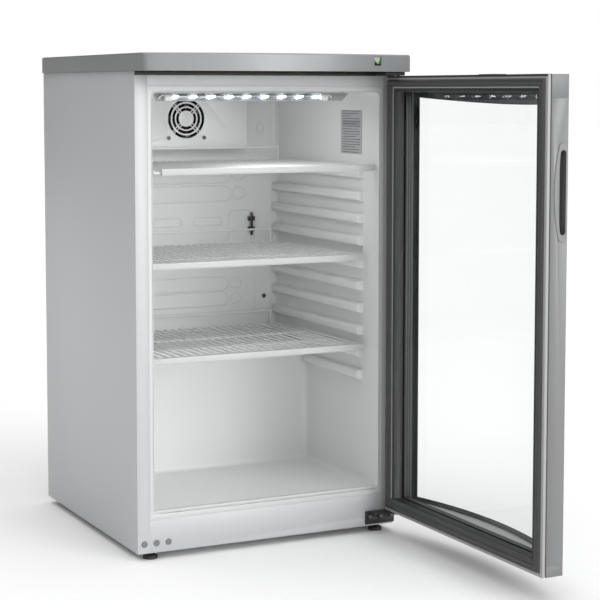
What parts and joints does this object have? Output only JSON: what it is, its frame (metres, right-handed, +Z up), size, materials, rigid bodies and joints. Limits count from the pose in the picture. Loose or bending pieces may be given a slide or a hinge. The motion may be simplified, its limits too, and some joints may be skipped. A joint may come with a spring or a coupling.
{
  "type": "under-counter display fridge",
  "caption": "Under-counter display fridge with a bowed glass door standing open, wire shelves, an inside fan and lamp, and a compressor bay at the back.",
  "frame": {"origin": "on the floor, under the middle of the fridge's outline with the door standing open square to the front", "axes": "+Z up, -Y out of the cabinet's open front, +X to the hinge side, which is the right as one faces the front"},
  "size_m": [0.5426, 0.9684, 0.84],
  "materials": {
    "cabinet_paint": "satin",
    "bare_sheet": "satin",
    "liner_plastic": "gloss",
    "foam": "matte",
    "worktop_plastic": "semi-gloss",
    "board": "matte",
    "black_plastic": "satin",
    "display_plastic": "gloss",
    "evaporator_aluminium": "satin",
    "screw_steel": "satin",
    "lamp_metal": "satin",
    "clear_tube": "gloss",
    "led_board": "matte",
    "label_film": "satin",
    "plug_plastic": "satin",
    "hinge_black": "semi-gloss",
    "pin_steel": "gloss",
    "compressor_paint": "semi-gloss",
    "mount_rubber": "matte",
    "copper": "satin",
    "tray_plastic": "matte",
    "foot_plastic": "satin",
    "shelf_coating": "semi-gloss",
    "trim_plastic": "gloss",
    "door_silver": "satin",
    "cap_silver": "satin",
    "frame_white": "gloss",
    "gasket_rubber": "satin",
    "pane_glass": "gloss",
    "spacer_metal": "matte",
    "cup_plastic": "satin",
    "bush_plastic": "satin"
  },
  "bodies": {
    "cabinet": {"side_panel_left": "cabinet_paint", "side_panel_right": "cabinet_paint", "front_top_rail": "cabinet_paint", "front_apron": "cabinet_paint", "back_panel": "bare_sheet", "top_panel": "bare_sheet", "base_pan": "bare_sheet", "bay_partition": "bare_sheet", "inner_liner": "liner_plastic", "fan_cover": "liner_plastic", "insulation_foam": "foam", "worktop": "worktop_plastic", "worktop_core": "board", "controller_box": "black_plastic", "fan_housing": "black_plastic", "terminal_box": "black_plastic", "cord_gland": "black_plastic", "probe_and_clips": "black_plastic", "display_window": "display_plastic", "evaporator_plate": "evaporator_aluminium", "fan_screws": "screw_steel", "lower_hinge_bolts": "screw_steel", "lamp_plate": "lamp_metal", "lamp_tube": "clear_tube", "led_strip": "led_board", "rating_label": "label_film", "hole_plugs": "plug_plastic", "lower_hinge_bracket": "hinge_black", "upper_hinge_bracket": "hinge_black", "lower_hinge_pin": "pin_steel", "upper_hinge_pin": "pin_steel", "compressor": "compressor_paint", "condenser": "compressor_paint", "compressor_mounts": "mount_rubber", "filter_dryer": "copper", "refrigerant_pipes": "copper", "drip_tray": "tray_plastic", "rear_feet": "foot_plastic"},
    "door": {"door_stile_hinge": "door_silver", "door_stile_latch": "door_silver", "door_top_rail": "cap_silver", "door_bottom_rail": "cap_silver", "door_inner_frame": "frame_white", "door_bead": "black_plastic", "door_gasket": "gasket_rubber", "flat_panes": "pane_glass", "spacer_bar": "spacer_metal", "glass_outer": "pane_glass", "handle_plate": "cap_silver", "handle_cup": "cup_plastic", "door_bushes": "bush_plastic"},
    "shelf_1": {"shelf_1_grid": "shelf_coating", "shelf_1_trim": "trim_plastic"},
    "shelf_2": {"shelf_2_grid": "shelf_coating", "shelf_2_trim": "trim_plastic"},
    "shelf_3": {"shelf_3_grid": "shelf_coating", "shelf_3_trim": "trim_plastic"},
    "fan_wheel": {"fan_rotor": "black_plastic"},
    "foot_left": {"foot_front_left": "foot_plastic"},
    "foot_right": {"foot_front_right": "foot_plastic"}
  },
  "joints": [
    {"name": "door_hinge", "type": "hinge", "parent": "cabinet", "child": "door", "pos_m": [0.2107, -0.0072, 0.4], "axis": [0, 0, 1], "range_deg": [-90, 30]},
    {"name": "shelf_1_slide", "type": "slide", "parent": "cabinet", "child": "shelf_1", "axis": [0, -1, 0], "range_m": [0, 0.3]},
    {"name": "shelf_2_slide", "type": "slide", "parent": "cabinet", "child": "shelf_2", "axis": [0, -1, 0], "range_m": [0, 0.32]},
    {"name": "shelf_3_slide", "type": "slide", "parent": "cabinet", "child": "shelf_3", "axis": [0, -1, 0], "range_m": [0, 0.32]},
    {"name": "fan_spin", "type": "hinge", "parent": "cabinet", "child": "fan_wheel", "pos_m": [-0.0248, 0.3862, 0.7265], "axis": [0, 1, 0], "continuous": true},
    {"name": "foot_left_turn", "type": "hinge", "parent": "cabinet", "child": "foot_left", "pos_m": [-0.2393, 0.0312, 0.006], "axis": [0, 0, 1], "continuous": true},
    {"name": "foot_right_turn", "type": "hinge", "parent": "cabinet", "child": "foot_right", "pos_m": [0.1897, 0.0312, 0.006], "axis": [0, 0, 1], "continuous": true}
  ]
}
